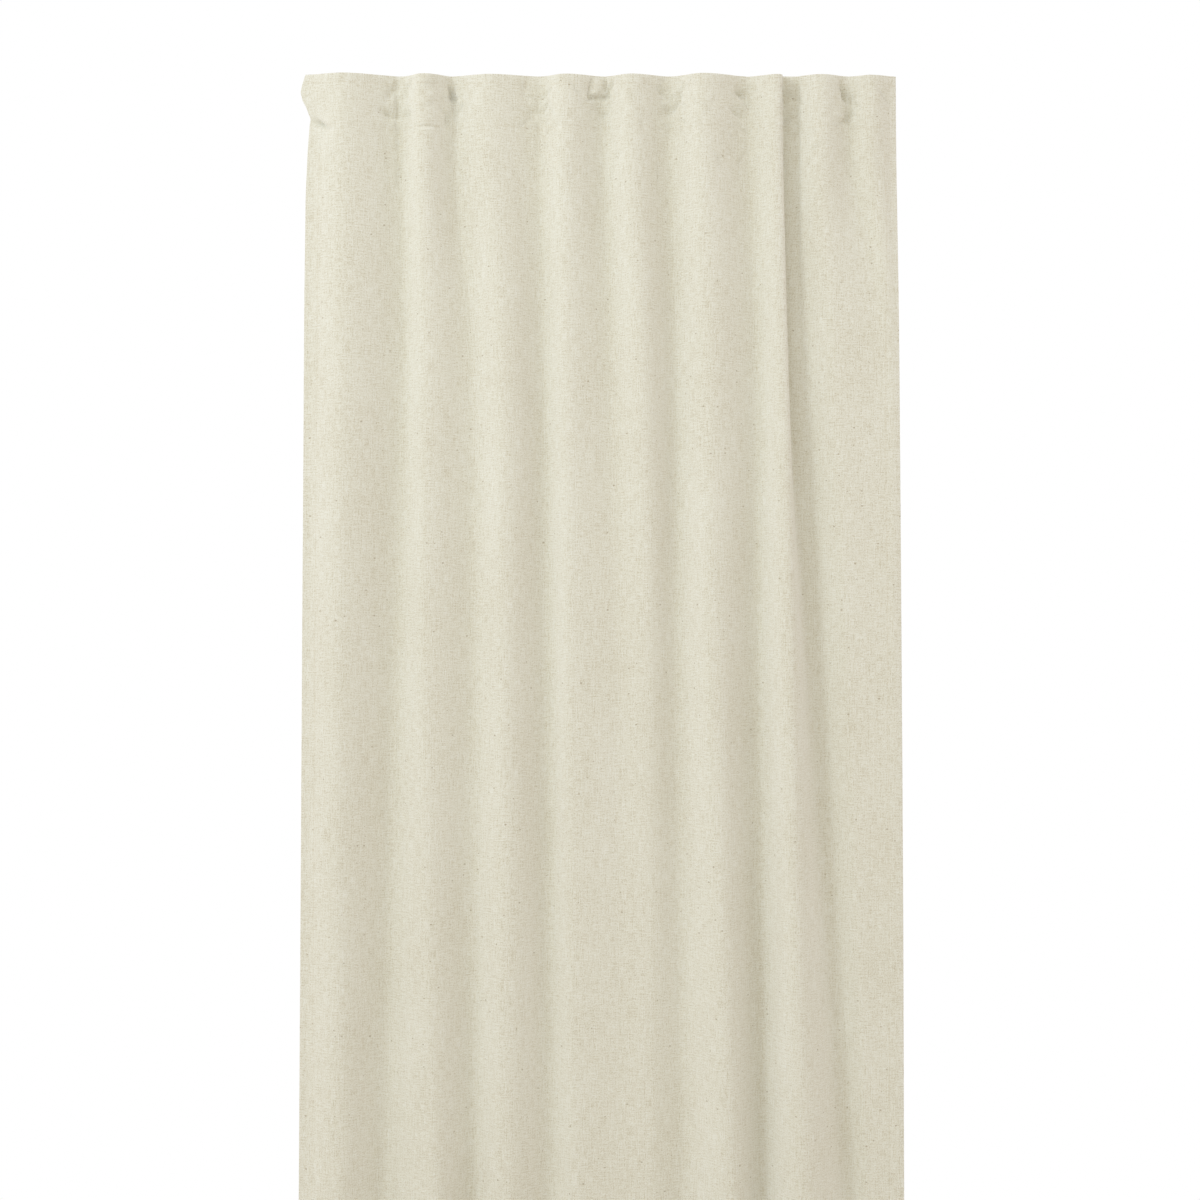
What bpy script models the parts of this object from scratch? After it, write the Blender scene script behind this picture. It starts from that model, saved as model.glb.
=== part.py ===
"""Fabric room curtain panel with a hidden back-tab heading, hung on its rod line.

Metres, +Z up. The origin is the middle of the rod line: X runs along the rod,
-Y is the room side of the cloth, and the rod axis is Y = 0, Z = 0.
"""

import bpy
import numpy as np

# Cloth
FLAT_WIDTH = 1.400          # finished width of the cloth laid flat
LENGTH = 2.400              # finished drop, top edge to hem
CLOTH = 0.0006              # one layer of the linen cloth
GAP = 0.0003                # clearance between pieces that lie on each other

# How it hangs
HUNG_WIDTH = 1.022          # from side edge to side edge at the heading
HEM_SPREAD = 0.026          # how much wider than the heading the hem hangs
RISE = 0.44                 # share of a fold's cloth in its left flank
LATE = 1.35                 # above 1, the right flank is steepest near the valley after it
PLATEAU = 0.35              # below 1, a flank keeps its turn for longer
CRISP_RISE = 0.20           # what a crisp valley adds to the rise, takes as a share from
CRISP_EARLY = 0.45          # the steepest place of the left flank, and takes from LATE
CRISP_LATE = 0.35
BEND = 0.0055               # how far along the cloth a bend is rounded
EASE = 0.020                # how far a small shift of the cloth is spread
BELL_REACH = 3              # how many reaches of a bell are counted
STEEPEST = 2.0              # the search for a fold's turn starts below this angle
HALVINGS = 20
FOLD_SAMPLES = 160

# Heading
ROD_DIAMETER = 0.025        # the thickest rod that the loops take
ROD_CLEARANCE = 0.001
TAPE_HEIGHT = 0.082
TAPE_THICKNESS = 0.0008
TAPE_DROP = 0.012           # top edge of the cloth to top edge of the tape
TAPE_MARGIN = 0.004         # bottom edge of the tape to that of the turned-over layer
HEADING = TAPE_DROP + TAPE_HEIGHT + TAPE_MARGIN
STITCH_INSET = 0.003        # from the edge of what is sewn down to its stitch row
ROD_BELOW_MIDDLE = 0.004    # middle of the tape to the rod line
ROD_DROP = TAPE_DROP + TAPE_HEIGHT / 2 + ROD_BELOW_MIDDLE

# Back tabs
TAB_WIDTH = 0.020
TAB_THICKNESS = 0.0009
TAB_END = 0.010             # the flat end that is sewn to the tape
TAB_SPARE = 0.0065          # room in the loop above and below the rod
TAB_HALF_HEIGHT = ROD_DIAMETER / 2 + TAB_SPARE
TAB_ROUNDNESS = 0.8         # below 1, the loop is fuller than half an ellipse
TAB_FREE = 3                # the loop leaves the tape's curve within 1/3 of its reach
BARTACK_WIDTH = 0.014
BARTACK_HEIGHT = 0.002

# Hems, stitches and label
SIDE_HEM = 0.030
BOTTOM_HEM = 0.080
HEM_LAYERS = 2
THREAD = 0.0005
LABEL_WIDTH = 0.030
LABEL_HEIGHT = 0.045
LABEL_THICKNESS = 0.0005
LABEL_ABOVE_HEM = 0.060
LABEL_GAP = 3 * GAP
STITCH_HALF = 0.8 * THREAD  # half the width of a row of stitches

# Mesh fineness
COLUMN_STEP = 0.018
UPPER_ROW_STEP = 0.10       # where the folds change fast, down to UPPER_ROWS
UPPER_ROWS = 0.70
ROW_STEP = 0.28
FINE_STEPS = 2800
TAB_COLUMNS = 5
TAB_TURNS = 13
LABEL_COLUMNS = 4
SHARP_ANGLE = 50            # degrees, above which an edge is shaded sharp

# Depths below the top edge at which the folds are described; the taped heading
# above the first one keeps the same folds all the way up.
LEVELS = (HEADING, 0.40, 1.00, LENGTH)

# The valleys between the folds, left to right, at each of those depths: first the
# share of the flat cloth that lies left of the valley, then the share of the hung width.
VALLEYS = (
    ((0.140, 0.146, 0.140, 0.122), (0.160, 0.165, 0.154, 0.125)),
    ((0.246, 0.258, 0.267, 0.287), (0.247, 0.275, 0.284, 0.286)),
    ((0.375, 0.385, 0.394, 0.420), (0.395, 0.401, 0.408, 0.419)),
    ((0.486, 0.501, 0.512, 0.520), (0.504, 0.515, 0.527, 0.530)),
    ((0.599, 0.616, 0.610, 0.606), (0.616, 0.620, 0.628, 0.639)),
    ((0.735, 0.752, 0.748, 0.754), (0.750, 0.762, 0.762, 0.772)),
    ((0.826, 0.846, 0.874, 0.944), (0.822, 0.824, 0.857, 0.942)),
    ((0.925, 0.970, 0.986, 0.986), (0.922, 0.967, 0.985, 0.985)),
)

# How far each valley has flattened out at those depths, from 0 to 1
FADES = (
    (0.0, 0.0, 0.0, 0.0), (0.0, 0.20, 0.20, 0.0), (0.0, 0.0, 0.0, 0.0), (0.0, 0.25, 0.60, 0.9),
    (0.0, 0.0, 0.0, 0.0), (0.0, 0.0, 0.0, 0.0), (0.0, 0.0, 0.0, 0.0), (0.0, 0.65, 0.90, 0.9),
)

# The width of cloth that lies flat in the bottom of each valley at those depths
FLOORS = (
    (0.0, 0.0, 0.0, 0.0), (0.0, 0.0, 0.0, 0.0), (0.0, 0.0, 0.0, 0.0), (0.0, 0.0, 0.0, 0.0),
    (0.0, 0.0, 0.0, 0.0), (0.0, 0.0, 0.0, 0.0), (0.030, 0.030, 0.014, 0.0), (0.0, 0.0, 0.0, 0.0),
)

# How crisply the two walls of each valley stand at those depths, from 0 to 1
CRISPS = (
    (0.0, 0.0, 0.0, 0.6), (0.2, 0.0, 0.1, 1.0), (0.0, 0.0, 0.0, 0.0), (0.0, 0.0, 0.0, 0.0),
    (0.0, 0.0, 0.0, 0.0), (0.0, 0.0, 0.1, 0.8), (1.0, 0.9, 0.4, 0.0), (0.0, 0.0, 0.0, 0.0),
)

# How far in front of the valleys the left and the right edge hang at those depths
EDGES_FORWARD = ((0.030, 0.030, 0.034, 0.036), (0.0, 0.018, 0.034, 0.020))

# Back offsets from the middle of the cloth to the front of each layer behind it
FACING_AT = CLOTH / 2 + GAP
TAPE_AT = FACING_AT + CLOTH + GAP
TAB_AT = TAPE_AT + TAPE_THICKNESS + GAP
BARTACK_AT = TAB_AT + TAB_THICKNESS + GAP
STITCH_AT = -CLOTH / 2 - GAP - THREAD
VALLEY_Y = -ROD_DIAMETER / 2 - ROD_CLEARANCE - TAB_AT + GAP
TAB_REACH = ROD_DIAMETER + 2 * ROD_CLEARANCE + GAP

COLOURS = {
    "cloth": ((0.73, 0.67, 0.55, 1), 0.95),
    "tape": ((0.80, 0.76, 0.66, 1), 0.85),
    "tab": ((0.78, 0.73, 0.62, 1), 0.80),
    "thread": ((0.66, 0.59, 0.46, 1), 0.60),
    "label": ((0.86, 0.85, 0.82, 1), 0.55),
}


def clear_scene():
    for obj in list(bpy.data.objects):
        bpy.data.objects.remove(obj, do_unlink=True)


def material(kind):
    found = bpy.data.materials.get(kind)
    if found:
        return found
    made = bpy.data.materials.new(kind)
    made.use_nodes = True
    shader = made.node_tree.nodes["Principled BSDF"]
    colour, roughness = COLOURS[kind]
    shader.inputs["Base Color"].default_value = colour
    shader.inputs["Roughness"].default_value = roughness
    shader.inputs["Metallic"].default_value = 0.0
    return made


def at_depth(values, depth):
    """A value given at the LEVELS, read at a depth from a smooth curve through them."""
    levels = np.array(LEVELS)
    values = np.array(values)
    slopes = np.gradient(values, levels)
    slopes[0] = 0.0
    depth = np.clip(depth, levels[0], levels[-1])
    i = np.clip(np.searchsorted(levels, depth, side="right") - 1, 0, len(levels) - 2)
    step = levels[i + 1] - levels[i]
    t = (depth - levels[i]) / step
    return (
        values[i] * (2 * t**3 - 3 * t**2 + 1)
        + values[i + 1] * (3 * t**2 - 2 * t**3)
        + slopes[i] * step * (t**3 - 2 * t**2 + t)
        + slopes[i + 1] * step * (t**3 - t**2)
    )


def fold_shape(u, rise, early, late):
    """How far the cloth is turned, from 0 to 1, at each share u of one fold's cloth.

    It comes forward up the left flank and falls back down the right one, which is
    scaled so that the fold ends about as far back as it began.
    """
    left = np.sin(np.pi * np.clip(u / rise, 0, 1) ** early) ** PLATEAU
    right = np.sin(np.pi * np.clip((u - rise) / (1 - rise), 0, 1) ** late) ** PLATEAU
    balance = flank_mean(early) / flank_mean(late) * rise / (1 - rise)
    return np.where(u < rise, left, -right * balance)


def flank_mean(power):
    """The mean turn along a flank whose steepest place is moved by this power."""
    way = (np.arange(FOLD_SAMPLES) + 0.5) / FOLD_SAMPLES
    return (np.sin(np.pi * way ** np.expand_dims(power, -1)) ** PLATEAU).mean(axis=-1)


def turn_for(share, rise, early, late):
    """Each fold's steepest angle, at which its hung width is this share of its cloth."""
    way = (np.arange(FOLD_SAMPLES) + 0.5) / FOLD_SAMPLES
    shape = np.array([fold_shape(way, *fold) for fold in zip(rise, early, late)])
    low, high = np.zeros_like(share), np.full_like(share, STEEPEST)
    for _ in range(HALVINGS):
        middle = (low + high) / 2
        wide = np.cos(middle[:, None] * shape).mean(axis=1) > share
        low, high = np.where(wide, middle, low), np.where(wide, high, middle)
    return (low + high) / 2


def with_edges(table, depth):
    """A table's values at one depth, with a 0 for each side edge."""
    return np.array([0, *(at_depth(row, depth) for row in table), 0])


def rounded(values, reach):
    """Values along the cloth, averaged over a bell this wide."""
    step = FLAT_WIDTH / FINE_STEPS
    count = int(BELL_REACH * reach / step)
    bell = np.exp(-((np.arange(-count, count + 1) * step / reach) ** 2) / 2)
    return np.convolve(np.pad(values, count, mode="edge"), bell / bell.sum(), "valid")


def hung_row(depth):
    """The cloth's middle at one depth: places along it, their X and Y, and their angle."""
    along = np.array([0, *(at_depth(v[0], depth) for v in VALLEYS), 1]) * FLAT_WIDTH
    width = HUNG_WIDTH + HEM_SPREAD * np.clip(depth, 0, LENGTH) / LENGTH
    across = (np.array([0, *(at_depth(v[1], depth) for v in VALLEYS), 1]) - 0.5) * width
    s = np.linspace(0, FLAT_WIDTH, FINE_STEPS + 1)
    fold = np.clip(np.searchsorted(along, s, side="right") - 1, 0, len(along) - 2)
    u = (s - along[fold]) / np.diff(along)[fold]
    # Half of each valley's flat floor belongs to the fold on either side of it
    floor = with_edges(FLOORS, depth) / 2
    lead, tail = floor[:-1] / np.diff(along), floor[1:] / np.diff(along)
    bent = 1 - lead - tail
    crisp = with_edges(CRISPS, depth)
    rise = RISE + CRISP_RISE * crisp[1:]
    early = 1 - CRISP_EARLY * crisp[:-1]
    late = LATE - CRISP_LATE * crisp[1:]
    turn = turn_for((np.diff(across) / np.diff(along) - lead - tail) / bent, rise, early, late)
    u = np.clip((u - lead[fold]) / bent[fold], 0, 1)
    fade = with_edges(FADES, depth)
    flat = np.where(u < rise[fold], fade[fold], fade[fold + 1])
    shape = fold_shape(u, rise[fold], early[fold], late[fold])
    angle = rounded(turn[fold] * shape * (1 - flat), BEND)
    step = FLAT_WIDTH / FINE_STEPS
    middle = (angle[1:] + angle[:-1]) / 2
    x = np.concatenate([[0], np.cumsum(np.cos(middle))]) * step
    y = np.concatenate([[0], -np.cumsum(np.sin(middle))]) * step
    x_shift = across - np.interp(along, s, x)
    y_shift = VALLEY_Y - np.interp(along, s, y)
    y_shift[[0, -1]] -= [at_depth(edge, depth) for edge in EDGES_FORWARD]
    around = (y_shift[:-2] + y_shift[2:]) / 2
    y_shift[1:-1] += fade[1:-1] * (around - y_shift[1:-1])
    x += rounded(np.interp(s, along, x_shift), EASE)
    y += rounded(np.interp(s, along, y_shift), EASE)
    angle = np.arctan2(-np.gradient(y, s), np.gradient(x, s))
    return s, x, y, angle


def cloth_points(columns, depths, back):
    """Points on a surface that lies a distance behind the cloth's middle, as a grid."""
    grid = np.empty((len(depths), len(columns), 3))
    for row, depth in enumerate(depths):
        s, x, y, angle = hung_row(depth)
        turn = np.interp(columns, s, angle)
        grid[row, :, 0] = np.interp(columns, s, x) + back * np.sin(turn)
        grid[row, :, 1] = np.interp(columns, s, y) + back * np.cos(turn)
        grid[row, :, 2] = ROD_DROP - depth
    return grid


def subdivided(keys, step):
    """The keys, with evenly spaced places between each two that are over a step apart."""
    keys = sorted(set(keys))
    places = []
    for start, end in zip(keys, keys[1:]):
        count = int(np.ceil((end - start) / step - 1e-6))
        places += list(np.linspace(start, end, count, endpoint=False))
    return np.array(places + [keys[-1]])


def between(places, low, high):
    return places[(places > low - 1e-6) & (places < high + 1e-6)]


def grid_faces(index):
    """Two triangles a cell, cut the same way in every layer so that layers nest."""
    a, b, c, d = index[:-1, :-1], index[1:, :-1], index[1:, 1:], index[:-1, 1:]
    return np.concatenate([np.stack(t, axis=-1).reshape(-1, 3) for t in ((a, b, c), (a, c, d))])


def add_mesh(name, kind, points, faces):
    mesh = bpy.data.meshes.new(name)
    mesh.from_pydata(points.reshape(-1, 3).tolist(), [], faces.tolist())
    mesh.materials.append(material(kind))
    mesh.shade_smooth()
    mesh.set_sharp_from_angle(angle=np.radians(SHARP_ANGLE))
    obj = bpy.data.objects.new(name, mesh)
    bpy.context.collection.objects.link(obj)
    return obj


def add_layer(name, kind, columns, depths, front, thickness):
    """A layer that follows the cloth, whose front lies this far behind the cloth's middle."""
    sides = [cloth_points(columns, depths, front + back) for back in (0, thickness)]
    near = np.arange(sides[0].size // 3).reshape(len(depths), len(columns))
    far = near + near.size
    edges = [near[0, :-1], near[:-1, -1], near[-1, :0:-1], near[::-1, 0]]
    loop = np.concatenate(edges)
    rim = grid_faces(np.stack([loop + near.size, loop]))
    faces = np.concatenate([grid_faces(near), grid_faces(far)[:, ::-1], rim])
    return add_mesh(name, kind, np.stack(sides), faces)


def add_tab(number, along, empty):
    """A woven loop behind the tape, with its two flat ends, on an empty that slides."""
    half = TAB_WIDTH / 2
    across = np.linspace(-half, half, TAB_COLUMNS)
    turn = np.linspace(0, np.pi, TAB_TURNS)
    end = TAB_HALF_HEIGHT + TAB_END
    near = TAB_HALF_HEIGHT + TAB_THICKNESS
    loop = TAB_HALF_HEIGHT * np.cos(turn)
    heights = np.concatenate([[end, near], loop, [-near, -end]])
    reach = np.concatenate([[0, 0], TAB_REACH * np.sin(turn) ** TAB_ROUNDNESS, [0, 0]])
    free = np.clip(reach / TAB_REACH * TAB_FREE, 0, 1)
    follows = cloth_points(along + across, [ROD_DROP], TAB_AT + TAB_THICKNESS / 2)[0]
    centre = follows[len(across) // 2]
    flat = np.stack([centre[0] + across, np.full_like(across, centre[1]), 0 * across], axis=1)
    grid = follows + (flat - follows) * free[:, None, None]
    grid[:, :, 1] += reach[:, None]
    grid[:, :, 2] = heights[:, None]
    index = np.arange(grid.size // 3).reshape(grid.shape[:2])
    tab = add_mesh(f"back_tab_{number}", "tab", grid, grid_faces(index))
    solid = tab.modifiers.new("Thickness", "SOLIDIFY")
    solid.thickness = TAB_THICKNESS
    solid.offset = 0
    pieces = [tab]
    bar = np.linspace(-BARTACK_WIDTH, BARTACK_WIDTH, TAB_COLUMNS) / 2 + along
    for place, side in (("upper", -1), ("lower", 1)):
        middle = ROD_DROP + side * (TAB_HALF_HEIGHT + TAB_END / 2)
        depths = [middle - BARTACK_HEIGHT / 2, middle + BARTACK_HEIGHT / 2]
        name = f"bartack_{number}_{place}"
        pieces.append(add_layer(name, "thread", bar, depths, BARTACK_AT, THREAD))
    empty.location = (centre[0], 0, 0)
    bpy.context.view_layer.update()
    for piece in pieces:
        piece.parent = empty
        piece.matrix_parent_inverse = empty.matrix_world.inverted()


def add_stitch_rows(columns, rows):
    """The sewing threads on the room side, each a fine ridge along its seam."""
    for name, depth in (
        ("heading_stitch_upper", TAPE_DROP + STITCH_INSET),
        ("heading_stitch_lower", TAPE_DROP + TAPE_HEIGHT - STITCH_INSET),
        ("bottom_hem_stitch", LENGTH - BOTTOM_HEM + STITCH_INSET),
    ):
        depths = [depth - STITCH_HALF, depth + STITCH_HALF]
        add_layer(name, "thread", columns, depths, STITCH_AT, THREAD)
    upright = between(rows, HEADING, LENGTH - BOTTOM_HEM)
    for name, along in (
        ("left_hem_stitch", SIDE_HEM - STITCH_INSET),
        ("right_hem_stitch", FLAT_WIDTH - SIDE_HEM + STITCH_INSET),
    ):
        sides = np.array([along - STITCH_HALF, along + STITCH_HALF])
        add_layer(name, "thread", sides, upright, STITCH_AT, THREAD)


def main():
    clear_scene()
    tabs = [valley[0][0] * FLAT_WIDTH for valley in VALLEYS]
    half = TAB_WIDTH / 2
    hem_top = LENGTH - BOTTOM_HEM
    inner = SIDE_HEM - STITCH_INSET
    keys = [0, inner, SIDE_HEM, FLAT_WIDTH - SIDE_HEM, FLAT_WIDTH - inner, FLAT_WIDTH]
    for along in tabs:
        keys += [along - half, along, along + half]
    columns = subdivided(keys, COLUMN_STEP)
    upper = subdivided([HEADING, UPPER_ROWS], UPPER_ROW_STEP)
    lower = subdivided([UPPER_ROWS, hem_top, hem_top + 2 * STITCH_INSET, LENGTH], ROW_STEP)
    rows = np.concatenate([[0], upper[:-1], lower])

    add_layer("panel_cloth", "cloth", columns, rows, -CLOTH / 2, CLOTH)
    heading = between(rows, 0, HEADING)
    add_layer("heading_facing", "cloth", columns, heading, FACING_AT, CLOTH)
    tape = [TAPE_DROP, TAPE_DROP + TAPE_HEIGHT]
    add_layer("heading_tape", "tape", columns, tape, TAPE_AT, TAPE_THICKNESS)

    turned = HEM_LAYERS * CLOTH
    sides = between(rows, HEADING, hem_top).copy()
    sides[0] += GAP
    sides[-1] -= GAP
    left = between(columns, 0, SIDE_HEM)
    right = between(columns, FLAT_WIDTH - SIDE_HEM, FLAT_WIDTH)
    add_layer("left_side_hem", "cloth", left, sides, FACING_AT, turned)
    add_layer("right_side_hem", "cloth", right, sides, FACING_AT, turned)
    hem = between(rows, hem_top, LENGTH)
    add_layer("bottom_hem", "cloth", columns, hem, FACING_AT, turned)

    add_stitch_rows(columns, rows)
    label = np.linspace(0, LABEL_WIDTH, LABEL_COLUMNS) + STITCH_INSET
    bottom = hem_top - LABEL_ABOVE_HEM
    add_layer(
        "care_label", "label", label, [bottom - LABEL_HEIGHT, bottom],
        FACING_AT + turned + LABEL_GAP, LABEL_THICKNESS,
    )
    for number, along in enumerate(tabs, start=1):
        empty = bpy.data.objects.new(f"tab_slide_{number}", None)
        bpy.context.collection.objects.link(empty)
        add_tab(number, along, empty)


main()
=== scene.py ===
import bpy
import numpy as np
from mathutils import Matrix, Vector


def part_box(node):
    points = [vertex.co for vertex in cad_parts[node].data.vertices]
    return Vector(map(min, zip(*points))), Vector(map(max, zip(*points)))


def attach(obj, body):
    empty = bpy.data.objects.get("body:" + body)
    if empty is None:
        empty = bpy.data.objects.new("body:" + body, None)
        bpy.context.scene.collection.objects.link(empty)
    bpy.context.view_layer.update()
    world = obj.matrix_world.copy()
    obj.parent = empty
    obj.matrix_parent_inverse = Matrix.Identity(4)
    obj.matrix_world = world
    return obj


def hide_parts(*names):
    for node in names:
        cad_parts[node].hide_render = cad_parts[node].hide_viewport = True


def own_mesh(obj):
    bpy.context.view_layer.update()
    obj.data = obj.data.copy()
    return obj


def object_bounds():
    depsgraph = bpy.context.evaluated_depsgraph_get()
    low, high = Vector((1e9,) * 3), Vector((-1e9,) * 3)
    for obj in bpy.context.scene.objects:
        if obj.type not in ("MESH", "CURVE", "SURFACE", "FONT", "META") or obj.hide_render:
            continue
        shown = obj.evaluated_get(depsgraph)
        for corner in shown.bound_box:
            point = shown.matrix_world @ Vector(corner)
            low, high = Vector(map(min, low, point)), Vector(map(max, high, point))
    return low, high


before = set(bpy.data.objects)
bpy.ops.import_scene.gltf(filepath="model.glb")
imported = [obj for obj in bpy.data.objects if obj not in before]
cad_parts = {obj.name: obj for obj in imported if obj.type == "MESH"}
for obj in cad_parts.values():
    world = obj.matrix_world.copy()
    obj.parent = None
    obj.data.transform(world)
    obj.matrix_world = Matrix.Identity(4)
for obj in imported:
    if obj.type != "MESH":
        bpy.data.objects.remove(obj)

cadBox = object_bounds()
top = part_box("panel_cloth")[1][2]          # height of the curtain's top edge above the rod line


def linear(hexColour):
    # sRGB to linear: each channel is ((c + 0.055) / 1.055) to the power 2.4, or c / 12.92 when dark
    c = np.array([int(hexColour[i:i + 2], 16) for i in (1, 3, 5)]) / 255
    return (*np.where(c < 0.04045, c / 12.92, ((c + 0.055) / 1.055) ** 2.4).tolist(), 1.0)


def addNode(tree, kind, settings=None, links=None):
    # Settings go to the node itself or to its inputs; a link comes from a socket or a node's first output
    node = tree.nodes.new(kind)
    for key, value in (settings or {}).items():
        if isinstance(key, str) and hasattr(node, key):
            setattr(node, key, value)
        else:
            node.inputs[key].default_value = value
    for key, source in (links or {}).items():
        tree.links.new(getattr(source, "outputs", [source])[0], node.inputs[key])
    return node


def smooth(t):
    # 0 below 0 and 1 above 1, with an S curve between
    t = np.clip(t, 0, 1)
    return t * t * (3 - 2 * t)


def bell(x, width):
    # 1 in the middle, falling as e to the power minus the square of x over the width
    return np.exp(-((x / width) ** 2))


sharpAngle = np.radians(62)     # edges sharper than this aren't smoothed over


def quadMesh(name, points, quads, flat, material):
    # points, four-cornered faces and each point's place in the flat cloth, straight into a mesh
    mesh = bpy.data.meshes.new(name)
    mesh.vertices.add(len(points))
    mesh.vertices.foreach_set("co", points.astype(np.float32).ravel())
    mesh.loops.add(quads.size)
    mesh.loops.foreach_set("vertex_index", quads.astype(np.int32).ravel())
    mesh.polygons.add(len(quads))
    mesh.polygons.foreach_set("loop_start", np.arange(0, quads.size, 4, dtype=np.int32))
    mesh.update(calc_edges=True)
    layer = mesh.uv_layers.new(name="flatCloth")
    layer.uv.foreach_set("vector", flat[quads.ravel()].astype(np.float32).ravel())
    mesh.validate()
    mesh.shade_smooth()
    mesh.set_sharp_from_angle(angle=sharpAngle)
    mesh.materials.append(material)
    obj = bpy.data.objects.new(name, mesh)
    bpy.context.collection.objects.link(obj)
    return obj


def gridQuads(index):
    # The four-cornered faces of a grid of point numbers
    corners = [index[:-1, :-1], index[1:, :-1], index[1:, 1:], index[:-1, 1:]]
    return np.stack(corners, axis=-1).reshape(-1, 4)


cloth = {
    "flatWidth": 1.400,         # metres, hemmed
    "length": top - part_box("panel_cloth")[0][2],
    "thickness": 0.0006,
    "hungWidth": 1.022,         # at the heading
    "hemSpread": 0.026,         # how much wider it hangs at the foot
    "rise": 0.44,               # share of a fold's cloth in its left flank
    "early": 1.00,              # below 1, the left flank is steepest near the valley before it
    "late": 1.35,               # above 1, the right flank is steepest near the valley after it
    "plateau": 0.35,            # below 1, a flank keeps its turn for longer
    "crispRise": 0.20,          # what a crisp valley adds to the rise and takes from early and late
    "crispEarly": 0.45,
    "crispLate": 0.35,
    "bend": 0.0055,             # the cloth can't turn over a shorter stretch than this
    "ease": 0.020,
    "valleyY": -0.0158,         # how far in front of the rod line the valleys hang
    "headingSag": 0.10,         # sag of the folds' fronts, as a share of how far they stand out
    "sagReach": 0.15,           # the depth at which that sag has gone
    "headingDepth": 0.098,
    "sideTurn": 0.00075,        # radius at which it turns over at its sides
    "endTurn": 0.00055,         # and at its top and foot
}
search = {"samples": 160, "steepest": 2.0, "halvings": 20}      # how finely a fold's turn is found

# The valleys between the folds from left to right, at four depths below the top edge: the
# share of the flat cloth to the left of the valley, then the share of the hung width.
levels = np.array([cloth["headingDepth"], 0.40, 1.00, cloth["length"]])
valleys = np.array([
    ((0.140, 0.146, 0.140, 0.122), (0.160, 0.165, 0.154, 0.125)),
    ((0.246, 0.258, 0.267, 0.287), (0.247, 0.275, 0.284, 0.286)),
    ((0.375, 0.385, 0.394, 0.420), (0.395, 0.401, 0.408, 0.419)),
    ((0.486, 0.501, 0.512, 0.520), (0.504, 0.515, 0.527, 0.530)),
    ((0.599, 0.616, 0.610, 0.606), (0.616, 0.620, 0.628, 0.639)),
    ((0.735, 0.752, 0.748, 0.754), (0.750, 0.762, 0.762, 0.772)),
    ((0.826, 0.846, 0.874, 0.944), (0.822, 0.824, 0.857, 0.942)),
    ((0.925, 0.970, 0.986, 0.986), (0.922, 0.967, 0.985, 0.985)),
])
# At those depths: how far each valley has flattened out, from 0 to 1, the metres of cloth that lie
# flat in the bottom of it, and how crisply its two walls stand, from 0 to 1
fades = np.array([
    (0.0, 0.0, 0.0, 0.0), (0.0, 0.20, 0.20, 0.0), (0.0, 0.0, 0.0, 0.0), (0.0, 0.25, 0.60, 0.9),
    (0.0, 0.0, 0.0, 0.0), (0.0, 0.0, 0.0, 0.0), (0.0, 0.0, 0.0, 0.0), (0.0, 0.65, 0.90, 0.9),
])
floors = np.array([
    (0.0, 0.0, 0.0, 0.0), (0.0, 0.0, 0.0, 0.0), (0.0, 0.0, 0.0, 0.0), (0.0, 0.0, 0.0, 0.0),
    (0.0, 0.0, 0.0, 0.0), (0.0, 0.0, 0.0, 0.0), (0.030, 0.030, 0.014, 0.0), (0.0, 0.0, 0.0, 0.0),
])
crisps = np.array([
    (0.0, 0.0, 0.0, 0.6), (0.2, 0.0, 0.1, 1.0), (0.0, 0.0, 0.0, 0.0), (0.0, 0.0, 0.0, 0.0),
    (0.0, 0.0, 0.0, 0.0), (0.0, 0.0, 0.1, 0.8), (1.0, 0.9, 0.4, 0.0), (0.0, 0.0, 0.0, 0.0),
])
# How far in front of the valleys the left and right edges hang at those depths
edgesForward = np.array([(0.030, 0.030, 0.034, 0.036), (0.0, 0.018, 0.034, 0.020)])
fineStep = 0.001                # metres of cloth between the worked-out places of a row
rowStep = 0.010


def atDepth(values, depth):
    # A cubic through the values given at the levels, level at the heading
    slopes = np.gradient(values, levels)
    slopes[0] = 0.0
    depth = np.clip(depth, levels[0], levels[-1])
    i = np.clip(np.searchsorted(levels, depth, side="right") - 1, 0, len(levels) - 2)
    step = levels[i + 1] - levels[i]
    t = (depth - levels[i]) / step
    return (values[i] * (2 * t**3 - 3 * t**2 + 1) + values[i + 1] * (3 * t**2 - 2 * t**3)
            + slopes[i] * step * (t**3 - 2 * t**2 + t) + slopes[i + 1] * step * (t**3 - t**2))


way = (np.arange(search["samples"]) + 0.5) / search["samples"]
powers = np.linspace(0.3, 5.0, 48)
flankMeans = (np.sin(np.pi * way ** powers[:, None]) ** cloth["plateau"]).mean(axis=1)


def foldShape(u, rise, early, late):
    # The turn of the cloth over one fold: a power of the sine of the way up the left flank and down
    # the right one, the way itself raised to early or late. The right one is scaled so that the fold
    # ends about as far back as it began.
    plateau = cloth["plateau"]
    left = np.sin(np.pi * np.clip(u / rise, 0, 1) ** early) ** plateau
    right = np.sin(np.pi * np.clip((u - rise) / (1 - rise), 0, 1) ** late) ** plateau
    means = np.interp(early, powers, flankMeans) / np.interp(late, powers, flankMeans)
    balance = means * rise / (1 - rise)
    return np.where(u < rise, left, -right * balance)


def turnFor(share, rise, early, late):
    # The steepest angle at which a fold's cosines average to its hung share, found by halving
    shape = foldShape(way, rise[..., None], early[..., None], late[..., None])
    low, high = np.zeros_like(share), np.full_like(share, search["steepest"])
    for _ in range(search["halvings"]):
        middle = (low + high) / 2
        wide = np.cos(middle[..., None] * shape).mean(axis=-1) > share
        low, high = np.where(wide, middle, low), np.where(wide, high, middle)
    return (low + high) / 2


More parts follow.
